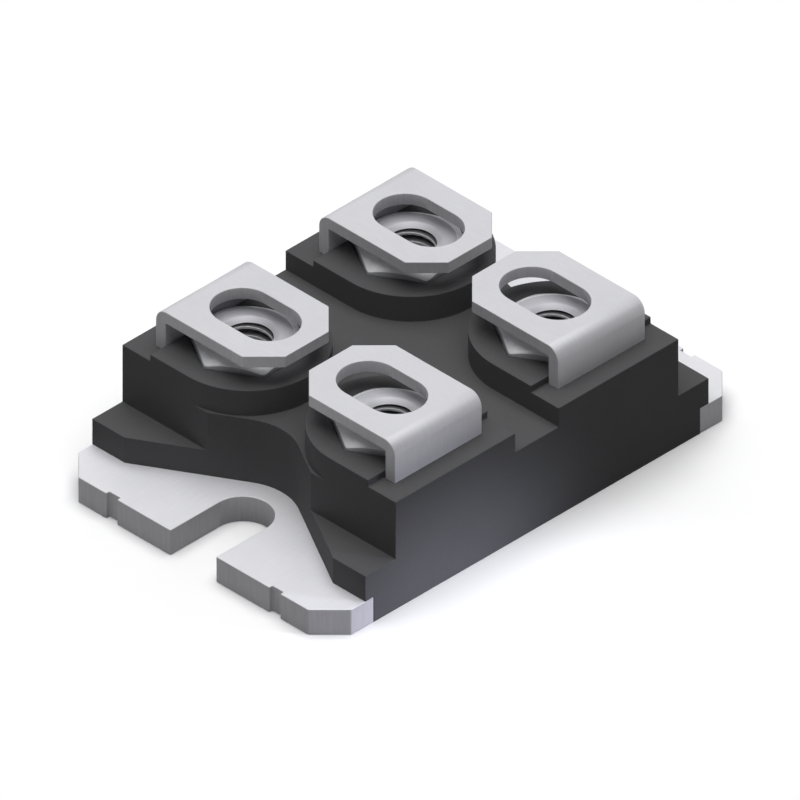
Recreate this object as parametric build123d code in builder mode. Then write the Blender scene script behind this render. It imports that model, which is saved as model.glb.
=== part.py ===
from build123d import *
import os
from math import cos, pi, radians, sin, tan

# Power diode module: two isolated diodes in one moulded housing on a flat base plate.
# All sizes are in millimetres. The origin is the middle of the base plate's underside, +Z is up, the long
# side lies along X, and the open screw slot is at the -X end.

# Base plate
plate_length = 38.1
plate_width = 25.1
plate_thickness = 2.0
plate_corner = 2.0
plate_notch_width = 1.0
plate_notch_depth = 0.3
plate_notch_spacing = 15.0
screw_hole_diameter = 4.2
screw_hole_edge_distance = 3.95
screw_slot_depth = 4.55

# Housing
rail_setback = 4.05
rail_width = 1.15
ledge_setback = 3.27
ledge_height = 2.0
body_setback = 6.05
body_height = 3.0
channel_width = 4.0
pad_height = 2.0
strip_drop = 0.5
screw_recess_radius = 4.2
screw_recess_flare = 60.0

# Terminals and their nuts
terminal_width = 8.0
terminal_thickness = 0.9
terminal_corner = 2.0
terminal_bend_radius = 0.1
terminal_tip_gap = 2.16
terminal_edge_distance = 1.55
terminal_lift = 0.97
terminal_slot_width = 4.2
terminal_slot_tip_web = 1.37
terminal_slot_bend_web = 0.93
shoulder_depth = 3.2
foot_width = 2.6
foot_length = 2.1
nut_sides = 6
nut_across_flats = 7.0
nut_thickness = 3.2
nut_stand_out = 0.7
nut_face_diameter = 5.9
nut_chamfer_angle = 30.0
thread_bore_diameter = 3.24
thread_countersink_diameter = 4.0
thread_countersink_angle = 90.0
nut_side_clearance = 0.1
strip_step_inset = 0.1
screw_well_diameter = 4.6
screw_well_depth = 1.2

# Substrate, diode chips and bond ribbons
solder_thickness = 0.1
copper_thickness = 0.3
ceramic_thickness = 0.63
moulding_wall = 0.7
ceramic_side_margin = 0.5
copper_margin = 0.5
copper_gap = 0.8
anode_area_length = 7.6
chip_size = 7.0
chip_thickness = 0.3
chip_edge_margin = 0.5
ribbon_count = 4
ribbon_width = 1.2
ribbon_thickness = 0.25
ribbon_pitch = 1.6
ribbon_foot_length = 0.8
ribbon_rise_length = 1.2
ribbon_fall_length = 1.6
ribbon_loop_height = 0.75
ribbon_bend_radius = 0.5
ribbon_bond_margin = 1.2

# Heights above the underside
ledge_top = plate_thickness + ledge_height
channel_floor = ledge_top + body_height
pad_top = channel_floor + pad_height
strip_top = pad_top - strip_drop
nut_top = pad_top + nut_stand_out
pocket_floor = nut_top - nut_thickness
well_floor = pocket_floor - screw_well_depth
terminal_underside = nut_top + terminal_lift
shoulder_level = strip_top - shoulder_depth
bottom_copper_level = plate_thickness + solder_thickness
ceramic_level = bottom_copper_level + copper_thickness
top_copper_level = ceramic_level + ceramic_thickness
bond_level = top_copper_level + copper_thickness
chip_level = bond_level + solder_thickness
chip_top = chip_level + chip_thickness

# Places along X
plate_end = plate_length / 2
screw_x = plate_end - screw_hole_edge_distance
slot_x = plate_end - screw_slot_depth
rail_length = plate_length - 2 * rail_setback
ledge_length = plate_length - 2 * ledge_setback
body_length = plate_length - 2 * body_setback
pad_width = (body_length - channel_width) / 2
terminal_x = (channel_width + pad_width) / 2
recess_bottom_x = screw_x - screw_recess_radius
ceramic_length = 2 * (recess_bottom_x - moulding_wall)
copper_length = ceramic_length - 2 * copper_margin
copper_area_width = (copper_length - copper_gap) / 2
copper_area_x = (copper_gap + copper_area_width) / 2

# Places along Y
side = plate_width / 2
leg_outer_y = side - terminal_edge_distance
leg_inner_y = leg_outer_y - terminal_thickness
nut_y = leg_inner_y - nut_side_clearance - nut_across_flats / 2
tip_y = terminal_tip_gap / 2
strip_y = leg_inner_y - strip_step_inset
waist_width = plate_width - 2 * rail_width
ceramic_width = waist_width - 2 * ceramic_side_margin
copper_width = ceramic_width - 2 * copper_margin
anode_area_y = copper_width / 2 - anode_area_length / 2
cathode_area_length = copper_width - anode_area_length - copper_gap
cathode_area_y = cathode_area_length / 2 - copper_width / 2
chip_y = cathode_area_y + cathode_area_length / 2 - chip_edge_margin - chip_size / 2

nut_places = [(x, y) for x in (-terminal_x, terminal_x) for y in (-nut_y, nut_y)]

# Diode a lies at -X and diode b at +X, turned half round, so each place is multiplied by the diode's turn.
diodes = {"a": -1, "b": 1}

# Everything that the housing is moulded round
inserts = []

os.makedirs("parts", exist_ok=True)


def keep(piece, name):
    """Label a finished piece and write its file."""
    piece.label = name
    export_step(piece, f"parts/{name}.step")


# Base plate: stamped from nickel-plated copper sheet, waisted where the housing's side rails pass it
with BuildPart() as baseplate:
    with BuildSketch() as plate_plan:
        Rectangle(plate_length, plate_width)
        chamfer(plate_plan.vertices(), plate_corner)
        with Locations((0, side - rail_width / 2), (0, rail_width / 2 - side)):
            Rectangle(rail_length, rail_width, mode=Mode.SUBTRACT)
        with GridLocations(plate_length - plate_notch_depth, plate_notch_spacing, 2, 2):
            Rectangle(plate_notch_depth, plate_notch_width, mode=Mode.SUBTRACT)
        with Locations((-slot_x, 0), (screw_x, 0)):
            Circle(screw_hole_diameter / 2, mode=Mode.SUBTRACT)
        with Locations((-slot_x - screw_slot_depth / 2, 0)):
            Rectangle(screw_slot_depth, screw_hole_diameter, mode=Mode.SUBTRACT)
    extrude(amount=plate_thickness)

baseplate.part.label = "baseplate"
export_step(baseplate.part, "parts/baseplate.step")
inserts.append(baseplate.part)

# Substrate: ceramic with copper on both faces, soldered flat on the base plate
with BuildPart() as substrate_solder:
    with BuildSketch(Plane.XY.offset(plate_thickness)):
        Rectangle(copper_length, copper_width)
    extrude(amount=solder_thickness)

substrate_solder.part.label = "substrate_solder"
export_step(substrate_solder.part, "parts/substrate_solder.step")
inserts.append(substrate_solder.part)

with BuildPart() as substrate_bottom_copper:
    with BuildSketch(Plane.XY.offset(bottom_copper_level)):
        Rectangle(copper_length, copper_width)
    extrude(amount=copper_thickness)

substrate_bottom_copper.part.label = "substrate_bottom_copper"
export_step(substrate_bottom_copper.part, "parts/substrate_bottom_copper.step")
inserts.append(substrate_bottom_copper.part)

with BuildPart() as substrate_ceramic:
    with BuildSketch(Plane.XY.offset(ceramic_level)):
        Rectangle(ceramic_length, ceramic_width)
    extrude(amount=ceramic_thickness)

substrate_ceramic.part.label = "substrate_ceramic"
export_step(substrate_ceramic.part, "parts/substrate_ceramic.step")
inserts.append(substrate_ceramic.part)


def layer(x, y, length, width, level, thickness):
    """A flat rectangular layer centred on x, y, with its underside at the level."""
    with BuildPart() as sheet:
        with BuildSketch(Plane.XY.offset(level)):
            with Locations((x, y)):
                Rectangle(length, width)
        extrude(amount=thickness)
    return sheet.part


def screw_terminal(turn, row, foot_x):
    """A terminal stamped and bent from one strip: slotted top, leg, and a narrow foot under the moulding.

    turn is the sign of its X and row the sign of its Y. The inside of the bends is drawn, and the sheet's
    thickness is laid outside it.
    """
    middle_x = turn * terminal_x
    foot_top = bond_level + solder_thickness + terminal_thickness
    with BuildPart() as terminal:
        with BuildSketch(Plane.YZ.offset(middle_x)):
            with BuildLine():
                FilletPolyline(
                    (row * tip_y, terminal_underside),
                    (row * leg_inner_y, terminal_underside),
                    (row * leg_inner_y, foot_top),
                    (row * (leg_inner_y - foot_length), foot_top),
                    radius=terminal_bend_radius,
                )
                offset(amount=terminal_thickness, side=Side.LEFT if row > 0 else Side.RIGHT)
            make_face()
        extrude(amount=terminal_width / 2, both=True)

        # the tip's two corners are cropped
        tip_edges = terminal.edges().filter_by(Axis.Z).sort_by(Axis.Y, reverse=row < 0)[:2]
        chamfer(tip_edges, terminal_corner)

        # the screw slot, open from above and below
        slot_start = tip_y + terminal_slot_tip_web
        slot_end = leg_inner_y - terminal_slot_bend_web
        with BuildSketch(Plane.XY.offset(terminal_underside)):
            with Locations((middle_x, row * (slot_start + slot_end) / 2)):
                SlotOverall(slot_end - slot_start, terminal_slot_width, rotation=90)
        extrude(amount=terminal_thickness, mode=Mode.SUBTRACT)

        # below the shoulder only the foot's width is left
        with BuildSketch(Plane.XZ):
            with Locations((middle_x, shoulder_level / 2)):
                Rectangle(2 * terminal_width, shoulder_level)
            with Locations((foot_x, shoulder_level / 2)):
                Rectangle(foot_width, shoulder_level, mode=Mode.SUBTRACT)
        extrude(amount=side, both=True, mode=Mode.SUBTRACT)
    return terminal.part


def bond_ribbon(turn, x):
    """A flat ribbon bonded on the chip and on the anode area, with a low loop between its two feet.

    Its underside is drawn, and the ribbon's thickness is laid above it.
    """
    loop_level = chip_top + ribbon_loop_height
    chip_foot_end = chip_y + ribbon_foot_length
    area_foot_start = copper_width / 2 - anode_area_length + ribbon_bond_margin
    with BuildPart() as ribbon:
        with BuildSketch(Plane.YZ.offset(x)):
            with BuildLine():
                FilletPolyline(
                    (turn * chip_y, chip_top),
                    (turn * chip_foot_end, chip_top),
                    (turn * (chip_foot_end + ribbon_rise_length), loop_level),
                    (turn * (area_foot_start - ribbon_fall_length), loop_level),
                    (turn * area_foot_start, bond_level),
                    (turn * (area_foot_start + ribbon_foot_length), bond_level),
                    radius=ribbon_bend_radius,
                )
                offset(amount=ribbon_thickness, side=Side.LEFT if turn > 0 else Side.RIGHT)
            make_face()
        extrude(amount=ribbon_width / 2, both=True)
    return ribbon.part


# The two diodes: copper areas, chip, bond ribbons and the pair of terminals
for diode, turn in diodes.items():
    area_x = turn * copper_area_x

    anode_area = layer(
        area_x,
        turn * anode_area_y,
        copper_area_width,
        anode_area_length,
        top_copper_level,
        copper_thickness,
    )
    keep(anode_area, f"anode_pad_{diode}")

    cathode_area = layer(
        area_x,
        turn * cathode_area_y,
        copper_area_width,
        cathode_area_length,
        top_copper_level,
        copper_thickness,
    )
    keep(cathode_area, f"cathode_pad_{diode}")

    chip_solder = layer(area_x, turn * chip_y, chip_size, chip_size, bond_level, solder_thickness)
    keep(chip_solder, f"chip_solder_{diode}")

    chip = layer(area_x, turn * chip_y, chip_size, chip_size, chip_level, chip_thickness)
    keep(chip, f"diode_chip_{diode}")

    inserts += [anode_area, cathode_area, chip_solder, chip]

    for number in range(ribbon_count):
        ribbon_x = area_x + (number - (ribbon_count - 1) / 2) * ribbon_pitch
        ribbon = bond_ribbon(turn, ribbon_x)
        keep(ribbon, f"bond_ribbon_{diode}{number + 1}")
        inserts.append(ribbon)

    for pole, row in (("anode", turn), ("cathode", -turn)):
        terminal = screw_terminal(turn, row, area_x)
        keep(terminal, f"{pole}_terminal_{diode}")

        joint_length = foot_length - terminal_bend_radius
        joint_y = row * (leg_inner_y - terminal_bend_radius - joint_length / 2)
        joint = layer(area_x, joint_y, foot_width, joint_length, bond_level, solder_thickness)
        keep(joint, f"{pole}_terminal_solder_{diode}")

        inserts += [terminal, joint]

# Nuts: hexagon nuts chamfered on both faces, lying loose in their pockets with a corner along X
with BuildPart() as nut:
    with BuildSketch(Plane.XY.offset(pocket_floor)):
        RegularPolygon(nut_across_flats / 2, nut_sides, major_radius=False)
    extrude(amount=nut_thickness)
    nut_corner = nut_across_flats / 2 / cos(pi / nut_sides)
    chamfer_drop = (nut_corner - nut_face_diameter / 2) * tan(radians(nut_chamfer_angle))
    with BuildSketch(Plane.XZ):
        with BuildLine():
            Polyline(
                (0, pocket_floor),
                (nut_face_diameter / 2, pocket_floor),
                (nut_corner, pocket_floor + chamfer_drop),
                (nut_corner, nut_top - chamfer_drop),
                (nut_face_diameter / 2, nut_top),
                (0, nut_top),
                close=True,
            )
        make_face()
    revolve(axis=Axis.Z, mode=Mode.INTERSECT)
    with Locations((0, 0, nut_top)):
        CounterSinkHole(
            thread_bore_diameter / 2,
            thread_countersink_diameter / 2,
            counter_sink_angle=thread_countersink_angle,
        )
    countersink_width = (thread_countersink_diameter - thread_bore_diameter) / 2
    countersink_depth = countersink_width / tan(radians(thread_countersink_angle / 2))
    with Locations((0, 0, pocket_floor + countersink_depth / 2)):
        Cone(thread_countersink_diameter / 2, thread_bore_diameter / 2, countersink_depth, mode=Mode.SUBTRACT)

with BuildPart() as terminal_nuts:
    with Locations(*nut_places):
        add(nut.part)

terminal_nuts.part.label = "terminal_nuts"
export_step(terminal_nuts.part, "parts/terminal_nuts.step")

# Housing: moulded in one piece round the inserts, with rails that run down beside the base plate
with BuildPart() as housing:
    with BuildSketch():
        with GridLocations(0, plate_width - rail_width, 1, 2):
            Rectangle(rail_length, rail_width)
    extrude(amount=plate_thickness)

    # corner ledges
    with BuildSketch(Plane.XY.offset(plate_thickness)):
        Rectangle(ledge_length, plate_width)
    extrude(amount=ledge_height)

    # body up to the floor of the crossed channels
    with BuildSketch(Plane.XY.offset(ledge_top)):
        Rectangle(body_length, plate_width)
    extrude(amount=body_height)

    # four terminal pads, each with a round inner end about its nut
    with BuildSketch(Plane.XY.offset(channel_floor)):
        with Locations(*nut_places):
            Circle(pad_width / 2)
        with GridLocations(2 * terminal_x, side + nut_y, 2, 2):
            Rectangle(pad_width, side - nut_y)
    extrude(amount=pad_height)

    # lowered strips along both sides, where the terminals enter
    with BuildSketch(Plane.XY.offset(strip_top)):
        with GridLocations(0, side + strip_y, 1, 2):
            Rectangle(body_length, side - strip_y)
    extrude(amount=strip_drop, mode=Mode.SUBTRACT)

    # screw recesses at both ends: a round bottom with straight walls that flare to the corners
    wall_lean = radians(screw_recess_flare)
    touch_x = screw_x - screw_recess_radius * sin(wall_lean)
    touch_y = screw_recess_radius * cos(wall_lean)
    mouth_y = touch_y + (plate_end - touch_x) * tan(wall_lean)
    with BuildSketch(Plane.XY.offset(plate_thickness)) as recess_plan:
        with BuildLine():
            Polyline((touch_x, touch_y), (plate_end, mouth_y), (plate_end, -mouth_y), (touch_x, -touch_y))
            ThreePointArc((touch_x, -touch_y), (recess_bottom_x, 0), (touch_x, touch_y))
        make_face()
        mirror(about=Plane.YZ)
    extrude(amount=pad_top - plate_thickness, mode=Mode.SUBTRACT)

    # nut pockets, open to the terminal's leg, with a well below for the screw's end
    with BuildSketch(Plane.XY.offset(pocket_floor)):
        with Locations(*nut_places):
            RegularPolygon(nut_across_flats / 2 + nut_side_clearance, nut_sides, major_radius=False)
    extrude(amount=pad_top - pocket_floor, mode=Mode.SUBTRACT)
    with BuildSketch(Plane.XY.offset(well_floor)):
        with Locations(*nut_places):
            Circle(screw_well_diameter / 2)
    extrude(amount=screw_well_depth, mode=Mode.SUBTRACT)

    # the room that the inserts take
    for insert in inserts:
        add(insert, mode=Mode.SUBTRACT)

housing.part.label = "housing"
export_step(housing.part, "parts/housing.step")
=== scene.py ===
import math

import bpy
from mathutils import Matrix, Vector


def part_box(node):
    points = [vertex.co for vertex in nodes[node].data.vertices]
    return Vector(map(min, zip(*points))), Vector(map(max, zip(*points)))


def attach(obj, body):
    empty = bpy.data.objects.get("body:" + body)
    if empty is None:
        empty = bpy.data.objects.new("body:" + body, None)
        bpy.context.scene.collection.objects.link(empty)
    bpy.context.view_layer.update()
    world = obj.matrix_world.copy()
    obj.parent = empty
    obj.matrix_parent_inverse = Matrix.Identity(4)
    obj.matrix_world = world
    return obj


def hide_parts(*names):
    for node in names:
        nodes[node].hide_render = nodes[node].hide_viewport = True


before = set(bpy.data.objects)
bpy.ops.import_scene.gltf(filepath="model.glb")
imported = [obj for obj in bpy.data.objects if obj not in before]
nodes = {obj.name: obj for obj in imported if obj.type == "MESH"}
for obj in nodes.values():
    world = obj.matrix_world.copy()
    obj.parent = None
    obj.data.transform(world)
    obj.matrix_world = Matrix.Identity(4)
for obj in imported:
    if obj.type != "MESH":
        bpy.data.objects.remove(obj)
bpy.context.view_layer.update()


# Base plate
# A flat blank stamped from thick copper sheet and plated all over with satin nickel. It is the module's
# mounting face: one screw goes through its rear hole, the other slides into its front slot.

millimetre = 0.001


class Value:
    """A socket in a sum: each operator adds the Math node that it stands for."""

    def __init__(self, recipe, socket):
        self.recipe = recipe
        self.socket = socket

    def work_out(self, operation, *terms):
        """A Math node with these terms in its sockets."""
        sockets = {number: term for number, term in enumerate(terms)}
        return self.recipe.add("ShaderNodeMath", {"operation": operation}, sockets)

    def __add__(self, other):
        return self.work_out("ADD", self, other)

    __radd__ = __add__

    def __mul__(self, other):
        return self.work_out("MULTIPLY", self, other)

    __rmul__ = __mul__

    def __sub__(self, other):
        return self.work_out("SUBTRACT", self, other)

    def __rsub__(self, other):
        return self.work_out("SUBTRACT", other, self)

    def __pow__(self, other):
        return self.work_out("POWER", self, other)

    def __abs__(self):
        return self.work_out("ABSOLUTE", self)

    def larger(self, other):
        """The larger of this value and another."""
        return self.work_out("MAXIMUM", self, other)

    def above(self, start, end):
        """0 below the start and 1 past the end, with a smooth step between them."""
        sockets = {"Value": self, "From Min": start, "From Max": end}
        return self.recipe.add("ShaderNodeMapRange", {"interpolation_type": "SMOOTHSTEP"}, sockets)


class Recipe:
    """The nodes of one material or of the world."""

    def __init__(self, tree):
        self.tree = tree
        self.tree.nodes.clear()

    def add(self, kind, settings, sockets, output=0):
        """Adds a node, makes its settings first, then fills or links its sockets, named or numbered."""
        node = self.tree.nodes.new(kind)
        for name, setting in settings.items():
            setattr(node, name, setting)
        for name, value in sockets.items():
            found = [socket for socket in node.inputs if socket.identifier == name]
            socket = found[0] if found else node.inputs[name]
            if isinstance(value, Value):
                self.tree.links.new(value.socket, socket)
            else:
                socket.default_value = value
        return Value(self, node.outputs[output]) if node.outputs else None

    def place(self, stretch=(1, 1, 1)):
        """The point on the piece in millimetres, stretched along the axes."""
        spot = self.add("ShaderNodeTexCoord", {}, {}, "Object")
        scale = [factor / millimetre for factor in stretch]
        return self.add("ShaderNodeVectorMath", {"operation": "MULTIPLY"}, {0: spot, 1: scale})

    def axes(self, vector):
        """The three parts of a vector."""
        return [self.add("ShaderNodeSeparateXYZ", {}, {0: vector}, axis) for axis in "XYZ"]

    def facing(self):
        """The three parts of the surface's own direction."""
        return self.axes(self.add("ShaderNodeTexCoord", {}, {}, "Normal"))

    def noise(self, scale, detail=2.0, stretch=(1, 1, 1)):
        """Cloudy noise between 0 and 1.

        scale gives about how many clouds there are to the millimetre, detail how many finer layers they
        have, and stretch how much closer they lie along each axis.
        """
        sockets = {"Vector": self.place(stretch), "Scale": scale, "Detail": detail}
        return self.add("ShaderNodeTexNoise", {}, sockets)

    def corners(self, radius):
        """1 on a convex or concave corner of the piece, 0 on its flat faces."""
        rounded = self.add("ShaderNodeBevel", {"samples": 6}, {"Radius": radius * millimetre})
        straight = self.add("ShaderNodeNewGeometry", {}, {}, "Normal")
        both = {0: rounded, 1: straight}
        match = self.add("ShaderNodeVectorMath", {"operation": "DOT_PRODUCT"}, both, "Value")
        return (1 - match).above(0.01, 0.12)

    def blend(self, mask, first, second):
        """The first colour where the mask is 0, the second where it is 1."""
        sockets = {"Factor_Float": mask, "A_Color": first, "B_Color": second}
        return self.add("ShaderNodeMix", {"data_type": "RGBA"}, sockets, 2)

    def shade(self, colour, amount):
        """The colour made lighter or darker by an amount round 1."""
        return self.add("ShaderNodeVectorMath", {"operation": "SCALE"}, {"Vector": colour, "Scale": amount})

    def relief(self, height, corner_radius=0.0):
        """Bumps whose height is given in millimetres, on corners that are rounded to a radius."""
        sockets = {"Strength": 1.0, "Distance": millimetre, "Height": height}
        if corner_radius:
            rounding = {"Radius": corner_radius * millimetre}
            sockets["Normal"] = self.add("ShaderNodeBevel", {"samples": 8}, rounding)
        return self.add("ShaderNodeBump", {}, sockets)

    def surface(self, sockets):
        """The finished surface, from the sockets of one Principled shader."""
        shader = self.add("ShaderNodeBsdfPrincipled", {}, sockets)
        self.add("ShaderNodeOutputMaterial", {}, {"Surface": shader})


def finish(name):
    """A new material and the recipe that fills it."""
    material = bpy.data.materials.new(name)
    material.use_nodes = True
    return material, Recipe(material.node_tree)


# Tone of the sheared edges: real drag marks and roughness, and darker than the rolled faces as painted
# shade on the upright faces.
sheared_and_shaded_tone = (0.56, 0.555, 0.575)
# Lighter corners: partly rubbed wear, partly a painted highlight.
rubbed_highlight_tone = (0.8, 0.8, 0.82, 1.0)
rubbed_highlight_width = 0.12
grain_depth = 0.004
pit_depth = 0.0015
scuff_depth = 0.001
drag_depth = 0.004


def nickel_plated(name, tone, rolling, sheared_part):
    """Satin nickel over copper sheet. Its rolled faces have a fine grain; its sheared edges are rougher and
    darker, the darkness painted shade, and its corners lighter, partly rubbed wear and partly a painted
    highlight.

    tone is the rolled faces' colour, rolling is the stretch of their grain, and sheared_part tells from a
    recipe where the sheet was cut.
    """
    material, recipe = finish(name)
    sheared = sheared_part(recipe)
    corner = recipe.corners(rubbed_highlight_width)
    grain = recipe.noise(1.0, 4.0, rolling)
    clouds = recipe.noise(0.3, 3.0)
    pits = recipe.noise(11.0, 3.0)
    scuffs = recipe.noise(1.0, 2.0, (2.6, 0.22, 1.0)).above(0.66, 0.74)
    drag = recipe.noise(1.0, 3.0, (7.0, 7.0, 0.5))

    rolled = recipe.shade(tone, 0.90 + 0.12 * grain + 0.08 * clouds)
    # The cut edges' colour is partly painted shade: upright faces darker than the rolled ones, with the
    # drag marks' streaks.
    cut = recipe.shade(sheared_and_shaded_tone, 0.88 + 0.24 * drag)
    colour = recipe.blend(sheared, rolled, cut)
    # Lighter corners: partly rubbed wear, partly a painted highlight.
    colour = recipe.blend(corner * 0.45, colour, rubbed_highlight_tone)

    polish = 0.46 + 0.10 * clouds + 0.06 * scuffs + 0.05 * pits
    roughness = polish + sheared * (0.13 + 0.08 * drag) - 0.06 * corner
    height = grain_depth * grain + pit_depth * pits - scuff_depth * scuffs + sheared * drag * drag_depth
    recipe.surface({
        "Base Color": colour,
        "Metallic": 0.25,
        "Roughness": roughness,
        "Specular IOR Level": 0.2,
        "Normal": recipe.relief(height),
    })
    return material


def upright_faces(recipe):
    """1 on the plate's cut outline, hole and slot, 0 on its two rolled faces."""
    return 1 - abs(recipe.facing()[2]).above(0.3, 0.8)


def dress(name, material, corner_break=0.0):
    """Gives a CAD piece its material and takes the sharpness off its corners."""
    piece = nodes[name]
    piece.data.materials.clear()
    piece.data.materials.append(material)
    if corner_break:
        weld = piece.modifiers.new("weld", "WELD")
        weld.merge_threshold = 1e-7
        planar = piece.modifiers.new("planar", "DECIMATE")
        planar.decimate_type = "DISSOLVE"
        planar.angle_limit = math.radians(0.5)
        bevel = piece.modifiers.new("bevel", "BEVEL")
        bevel.width = corner_break * millimetre
        bevel.segments = 2
        bevel.limit_method = "ANGLE"
        bevel.angle_limit = math.radians(30)
        bevel.use_clamp_overlap = False
        bevel.harden_normals = True


# The plate's tone is lighter than the terminals' same nickel as painted light, lifting the shade that the
# housing casts over the plate's top.
plate_tone_with_painted_light = (0.82, 0.82, 0.85)
rolled_along_plate = (0.5, 9.0, 9.0)
plate_corner_break = 0.07

plate_metal = nickel_plated("nickel_plated_sheet", plate_tone_with_painted_light, rolled_along_plate, upright_faces)
dress("baseplate", plate_metal, plate_corner_break)


# Substrate
# A plate of white alumina with copper bonded on both faces, soldered flat on the base plate. It keeps the
# two diodes apart from the base plate and carries their copper areas. The moulding covers it.

def buried(name, colour, metallic, roughness, spots, depth):
    """A material inside the moulding: cloudy colour, uneven polish and fine relief."""
    material, recipe = finish(name)
    clouds = recipe.noise(0.6, 3.0)
    fine = recipe.noise(spots, 3.0)
    recipe.surface({
        "Base Color": recipe.shade(colour, 0.88 + 0.14 * clouds + 0.1 * fine),
        "Metallic": metallic,
        "Roughness": roughness + 0.12 * clouds + 0.06 * fine,
        "Normal": recipe.relief(fine * depth),
    })
    return material


solder = buried("reflowed_solder", (0.58, 0.59, 0.61), metallic=1.0, roughness=0.38, spots=3.0, depth=0.006)
bare_copper = buried("bare_copper", (0.80, 0.44, 0.29), metallic=1.0, roughness=0.3, spots=9.0, depth=0.002)
alumina = buried("fired_alumina", (0.86, 0.86, 0.83), metallic=0.0, roughness=0.55, spots=14.0, depth=0.002)

dress("substrate_solder", solder)
dress("substrate_bottom_copper", bare_copper)
dress("substrate_ceramic", alumina)
for diode in "ab":
    dress(f"anode_pad_{diode}", bare_copper)
    dress(f"cathode_pad_{diode}", bare_copper)


# Diode chips
# One square silicon chip for each diode, with a metal face on top for the ribbons. It is soldered on its
# cathode area.

silicon_tone = (0.42, 0.44, 0.49)
silicon = buried("metallised_silicon", silicon_tone, metallic=0.8, roughness=0.2, spots=20.0, depth=0.0004)

for diode in "ab":
    dress(f"chip_solder_{diode}", solder)
    dress(f"diode_chip_{diode}", silicon)


# Bond ribbons
# Flat aluminium ribbons, four to a diode, bonded by ultrasound on the chip's face and on the anode area.
# They share the diode's current between them.

ribbon_tone = (0.82, 0.82, 0.83)
aluminium = buried("rolled_aluminium", ribbon_tone, metallic=1.0, roughness=0.26, spots=6.0, depth=0.001)

for diode in "ab":
    for number in (1, 2, 3, 4):
        dress(f"bond_ribbon_{diode}{number}", aluminium)


# Terminals
# Four strips stamped from copper sheet, nickel plated, with a slotted top bent over the nut and a leg that
# goes down into the moulding, where its foot is soldered on a copper area.

terminal_tone = (0.66, 0.66, 0.685)
rolled_along_leg = (9.0, 0.7, 0.7)
terminal_corner_break = 0.06
bend_depth = 1.2

leg_y = max(abs(corner.y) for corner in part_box("anode_terminal_a")) / millimetre
flat_end_y = leg_y - bend_depth


def terminal_cuts(recipe):
    """1 on a terminal's cut outline and on its slot's wall, 0 on the rolled faces of top, bend and leg."""
    facing = recipe.facing()
    end_face = abs(facing[0]).above(0.35, 0.7)
    upright = 1 - abs(facing[2]).above(0.3, 0.8)
    over_nut = 1 - abs(recipe.axes(recipe.place())[1]).above(flat_end_y - 0.1, flat_end_y)
    return end_face.larger(upright * over_nut)


terminal_metal = nickel_plated("nickel_plated_strip", terminal_tone, rolled_along_leg, terminal_cuts)

for diode in "ab":
    for pole in ("anode", "cathode"):
        dress(f"{pole}_terminal_{diode}", terminal_metal, terminal_corner_break)
        dress(f"{pole}_terminal_solder_{diode}", solder)


# Housing
# Black epoxy moulded in one shot round the substrate and the terminals. The mould's eroded face leaves a
# fine matt grain, and the mineral filler shows as faint specks.

epoxy_tone = (0.088, 0.088, 0.090)
filler_tone = (0.11, 0.11, 0.11, 1.0)
epoxy_corner_tone = (0.10, 0.10, 0.105, 1.0)
epoxy_corner_radius = 0.1
fine_grain_depth = 0.010
coarse_grain_depth = 0.005


def moulded_epoxy():
    """Matt black epoxy with the grain of the mould, filler specks and slightly lighter corners."""
    material, recipe = finish("moulded_epoxy")
    corner = recipe.corners(0.15)
    clouds = recipe.noise(0.22, 3.0)
    grain = recipe.noise(5.0, 4.0)
    coarse = recipe.noise(1.6, 2.0)
    specks = recipe.noise(13.0, 1.0).above(0.66, 0.76)

    colour = recipe.shade(epoxy_tone, 0.86 + 0.16 * clouds + 0.14 * grain)
    colour = recipe.blend(specks * 0.4, colour, filler_tone)
    colour = recipe.blend(corner * 0.2, colour, epoxy_corner_tone)
    height = fine_grain_depth * grain + coarse_grain_depth * coarse
    recipe.surface({
        "Base Color": colour,
        "Roughness": 0.56 + 0.12 * grain + 0.06 * clouds - 0.06 * corner,
        "Specular IOR Level": 0.05,
        "Normal": recipe.relief(height, epoxy_corner_radius),
    })
    return material


dress("housing", moulded_epoxy())


# Nuts
# Four plain M4 hexagon nuts of zinc-plated steel, turned and chamfered on both faces and tapped with a
# 0.7 mm thread. Each lies loose in its pocket with a corner along X, and the pocket keeps it from turning.

across_flats = 7.0
face_radius = 2.95
countersink_depth = 0.32
minor_radius = 1.62
major_radius = 2.0
thread_pitch = 0.7
thread_start_in_pitches = 0.146
half_crest_in_pitches = 1 / 8
flank_in_pitches = 5 / 16
chamfer_slope = math.tan(math.radians(30))
corner_sharpness = 60
edge_break = 0.04
ring_depth = 0.004
steps_round = 120
rows_per_pitch = 18
sharp_angle = math.radians(48)

nuts_low, nuts_high = (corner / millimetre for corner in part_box("terminal_nuts"))
half_thickness = (nuts_high.z - nuts_low.z) / 2
thread_end = half_thickness - countersink_depth
nut_middle = (nuts_high + nuts_low) / 2
corner_reach = across_flats / 2 / math.cos(math.pi / 6)
nut_x = nuts_high.x - corner_reach
nut_y = nuts_high.y - across_flats / 2


def hexagon_reach(angle):
    """How far the hexagon's side lies from the axis, with slightly rounded corners along X."""
    total = 0.0
    for number in range(6):
        facing = math.cos(angle - math.pi / 6 - number * math.pi / 3)
        total += max(0.0, facing) ** corner_sharpness
    return across_flats / 2 / total ** (1 / corner_sharpness)


def thread_reach(angle, z):
    """How far the thread lies from the axis: flat crests and roots with 60 degree flanks, right-handed."""
    turn = (z / thread_pitch - angle / math.tau - thread_start_in_pitches) % 1.0
    from_crest = min(turn, 1 - turn)
    down_flank = min(max((from_crest - half_crest_in_pitches) / flank_in_pitches, 0.0), 1.0)
    return minor_radius + (major_radius - minor_radius) * down_flank


def broken(before, corner, after):
    """A corner of the section cut into two points that lie a little way along its two sides."""
    points = []
    for end in (before, after):
        side = Vector(end) - Vector(corner)
        points.append(tuple(Vector(corner) + side.normalized() * edge_break))
    return points


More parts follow.
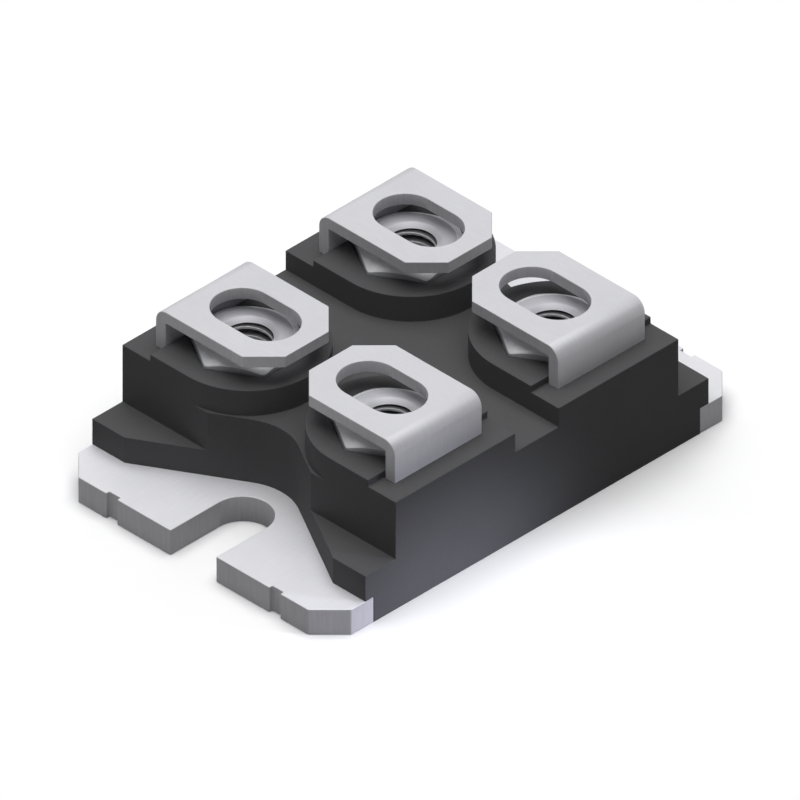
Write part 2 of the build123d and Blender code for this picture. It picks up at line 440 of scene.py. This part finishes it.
def nut_section(angle):
    """The points (radius, z) of a section, from the lower face round the outside to the thread."""
    reach = hexagon_reach(angle)
    flank_z = half_thickness - (reach - face_radius) * chamfer_slope
    thread_mouth = major_radius - countersink_depth
    outline = [
        (thread_mouth, -thread_end),
        (major_radius, -half_thickness),
        (face_radius, -half_thickness),
        (reach, -flank_z),
        (reach, flank_z),
        (face_radius, half_thickness),
        (major_radius, half_thickness),
        (thread_mouth, thread_end),
    ]
    points = [outline[0]]
    for before, corner, after in zip(outline, outline[1:], outline[2:]):
        points += broken(before, corner, after)
    points.append(outline[-1])
    rows = round(2 * thread_end / thread_pitch * rows_per_pitch)
    for row in range(rows + 1):
        z = thread_end - 2 * thread_end * row / rows
        points.append((thread_reach(angle, z), z))
    return points


def nut_mesh():
    """A closed ring of sections, each joined to the next by quads."""
    sections = []
    for step in range(steps_round):
        angle = math.tau * step / steps_round
        sections.append([
            Vector((radius * math.cos(angle), radius * math.sin(angle), z)) * millimetre
            for radius, z in nut_section(angle)
        ])
    count = len(sections[0])
    faces = []
    for step in range(steps_round):
        following = (step + 1) % steps_round
        for point in range(count):
            up = (point + 1) % count
            faces.append((
                step * count + point,
                following * count + point,
                following * count + up,
                step * count + up,
            ))
    mesh = bpy.data.meshes.new("hexagon_nut")
    mesh.from_pydata([vertex for section in sections for vertex in section], [], faces)
    mesh.shade_smooth()
    mesh.set_sharp_from_angle(angle=sharp_angle)
    return mesh


def even_faces(piece):
    """Lets the flat faces keep their own direction up to the small broken corners."""
    weighting = piece.modifiers.new("even_faces", "WEIGHTED_NORMAL")
    weighting.keep_sharp = True
    weighting.weight = 100
    weighting.thresh = (edge_break * millimetre) ** 2


def plated_steel():
    """Zinc on turned steel: tool rings on its faces, painted highlights on cones, crests and worn corners,
    painted shade on flats and thread.
    """
    # Painted light in these tones: cones and crests get painted highlights, flats and thread grooves
    # painted shade, and corners are lighter from rubbed wear and a painted highlight.
    cone_painted_highlight_tone = (0.95, 0.95, 0.97, 1.0)
    countersink_tone = (0.58, 0.58, 0.61, 1.0)
    face_tone = (0.55, 0.55, 0.58, 1.0)
    flat_painted_shade_tone = (0.50, 0.50, 0.52, 1.0)
    rubbed_corner_highlight_tone = (0.74, 0.74, 0.76, 1.0)
    thread_painted_shade_tone = (0.11, 0.11, 0.115, 1.0)
    crest_painted_highlight_tone = (0.80, 0.80, 0.82, 1.0)

    material, recipe = finish("zinc_plated_steel")
    corner = recipe.corners(0.08)
    x, y, z = recipe.axes(recipe.place())
    radius = (x * x + y * y) ** 0.5
    level = abs(recipe.facing()[2])
    faces = level.above(0.9, 0.97)
    flats = 1 - level.above(0.2, 0.5)
    tool_path = {"W": radius, "Scale": 16.0, "Detail": 2.0}
    rings = recipe.add("ShaderNodeTexNoise", {"noise_dimensions": "1D"}, tool_path)
    clouds = recipe.noise(0.8, 3.0)
    pits = recipe.noise(9.0, 3.0)
    in_bore = 1 - radius.above(major_radius, major_radius + 0.1)
    thread = in_bore * (1 - abs(z).above(thread_end - 0.03, thread_end))
    crests = thread * (1 - radius.above(minor_radius, minor_radius + 0.06))

    # Painted highlight: the outer cones are much lighter than the faces.
    cones = recipe.blend(in_bore, cone_painted_highlight_tone, countersink_tone)
    turned = recipe.blend(faces, cones, face_tone)
    # Painted shade: the upright flats are darker than the faces.
    colour = recipe.blend(flats, turned, flat_painted_shade_tone)
    colour = recipe.shade(colour, 0.86 + 0.18 * clouds + 0.06 * rings)
    # Lighter corners: partly rubbed wear, partly a painted highlight.
    colour = recipe.blend(corner * 0.4, colour, rubbed_corner_highlight_tone)
    # Painted shade in the thread's grooves, and a painted highlight on its crests.
    colour = recipe.blend(thread, colour, thread_painted_shade_tone)
    colour = recipe.blend(crests, colour, crest_painted_highlight_tone)
    recipe.surface({
        "Base Color": colour,
        "Metallic": 0.3,
        "Roughness": 0.40 + 0.1 * clouds + 0.06 * pits,
        "Normal": recipe.relief(faces * rings * ring_depth + pits * pit_depth),
    })
    return material


nut_form = nut_mesh()
nut_form.materials.append(plated_steel())
for diode, end in (("a", -1), ("b", 1)):
    for pole, row in (("anode", end), ("cathode", -end)):
        nut = bpy.data.objects.new(f"{pole}_nut_{diode}", nut_form)
        nut.location = Vector((end * nut_x, row * nut_y, nut_middle.z)) * millimetre
        bpy.context.scene.collection.objects.link(nut)
        even_faces(nut)
        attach(nut, "root")
        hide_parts("terminal_nuts")


# Floor and light
# A pale floor under a soft sky, white below the horizon, brighter overhead than near it and dimmest in
# front, with large soft lamps behind and overhead, and a small cool one for the front of the long side.

floor_reach = 3000
floor_drop = 0.02
floor_tone = (1.0, 1.0, 1.0)
floor_bounce_tone = (0.14, 0.14, 0.14)
ground_glow = (1.0, 1.0, 1.0, 1.0)
horizon_glow = (0.08, 0.08, 0.09, 1.0)
overhead_glow = (0.28, 0.28, 0.29, 1.0)
front_dimming = 0.65

floor_mesh = bpy.data.meshes.new("floor")
floor_corners = [
    Vector((x * floor_reach, y * floor_reach, 0)) * millimetre
    for x, y in ((-1, -1), (1, -1), (1, 1), (-1, 1))
]
floor_mesh.from_pydata(floor_corners, [], [(0, 1, 2, 3)])
floor_material, recipe = finish("pale_floor")
to_camera = recipe.add("ShaderNodeLightPath", {}, {}, "Is Camera Ray")
in_gloss = recipe.add("ShaderNodeLightPath", {}, {}, "Is Glossy Ray")
through = recipe.add("ShaderNodeLightPath", {}, {}, "Is Transmission Ray")
seen = (to_camera + in_gloss + through).above(0.0, 1.0)
cloudiness = 0.99 + 0.02 * recipe.noise(0.05)
seen_floor = recipe.shade(floor_tone, cloudiness)
bounce_floor = recipe.shade(floor_bounce_tone, cloudiness)
recipe.surface({
    "Base Color": recipe.blend(seen, bounce_floor, seen_floor),
    "Roughness": 0.9,
    "Specular IOR Level": 0.1,
})
floor_mesh.materials.append(floor_material)
floor = bpy.data.objects.new("floor", floor_mesh)
floor.location.z = -floor_drop * millimetre
bpy.context.scene.collection.objects.link(floor)

world = bpy.data.worlds.new("soft_sky")
bpy.context.scene.world = world
world.use_nodes = True
sky = Recipe(world.node_tree)
east, north, height = sky.axes(sky.add("ShaderNodeTexCoord", {}, {}, "Generated"))
to_front = -0.7 * east - 0.7 * north
sky_colour = sky.blend(height.above(0.02, 0.5), horizon_glow, overhead_glow)
sky_colour = sky.shade(sky_colour, 1 - front_dimming * to_front.above(0.0, 0.9))
sky_colour = sky.blend(height.above(0.0, 0.01), ground_glow, sky_colour)
glow = sky.add("ShaderNodeBackground", {}, {"Color": sky_colour, "Strength": 1.0})
sky.add("ShaderNodeOutputWorld", {}, {"Surface": glow})


def hang(light, place, aim):
    """Puts a lamp at its place and turns it to its aim, both in millimetres."""
    lamp = bpy.data.objects.new(light.name, light)
    lamp.location = Vector(place) * millimetre
    direction = Vector(aim) - Vector(place)
    lamp.rotation_euler = direction.to_track_quat("-Z", "Y").to_euler()
    lamp.visible_camera = False
    bpy.context.scene.collection.objects.link(lamp)
    return lamp


module_middle = (0, 0, 5)
panel_size = 300

for name, place, power, reflected in (
    ("back_lamp", (165, 165, 175), 0.09, True),
    ("overhead_lamp", (-15, -5, 290), 0.52, True),
    ("overhead_fill", (-15, -5, 310), 0.37, False),
):
    panel = bpy.data.lights.new(name, "AREA")
    panel.size = panel_size * millimetre
    panel.energy = power
    hang(panel, place, module_middle).visible_glossy = reflected

front_lamp_place = (24, -68, 10)
front_lamp_aim = (-14, -9, -5)

spot = bpy.data.lights.new("front_lamp", "SPOT")
spot.energy = 0.26
spot.color = (0.82, 0.83, 1.0)
spot.spot_size = math.radians(25)
spot.spot_blend = 1.0
spot.shadow_soft_size = 5 * millimetre
hang(spot, front_lamp_place, front_lamp_aim).visible_glossy = False


# Camera
# A parallel view from the front slot's side, turned half a right angle and looking down as in an isometric
# drawing.

picture_size = 800
pixels_per_millimetre = 15.383
origin_pixel = (400.40, 448.90)
camera_distance = 300

looking = Vector((1, 1, -1)).normalized()
right = Vector((1, -1, 0)).normalized()
upward = right.cross(looking)
shift_right = (picture_size / 2 - origin_pixel[0]) / pixels_per_millimetre
shift_up = (origin_pixel[1] - picture_size / 2) / pixels_per_millimetre
camera_place = right * shift_right + upward * shift_up - looking * camera_distance

camera_data = bpy.data.cameras.new("camera")
camera_data.type = "ORTHO"
camera_data.ortho_scale = picture_size / pixels_per_millimetre * millimetre
camera_data.clip_start = 1 * millimetre
camera_data.clip_end = 10000 * millimetre
camera = bpy.data.objects.new("camera", camera_data)
camera_turn = looking.to_track_quat("-Z", "Y").to_matrix().to_4x4()
camera.matrix_world = Matrix.Translation(camera_place * millimetre) @ camera_turn
bpy.context.scene.collection.objects.link(camera)
bpy.context.scene.camera = camera

bpy.context.scene.view_settings.view_transform = "Standard"
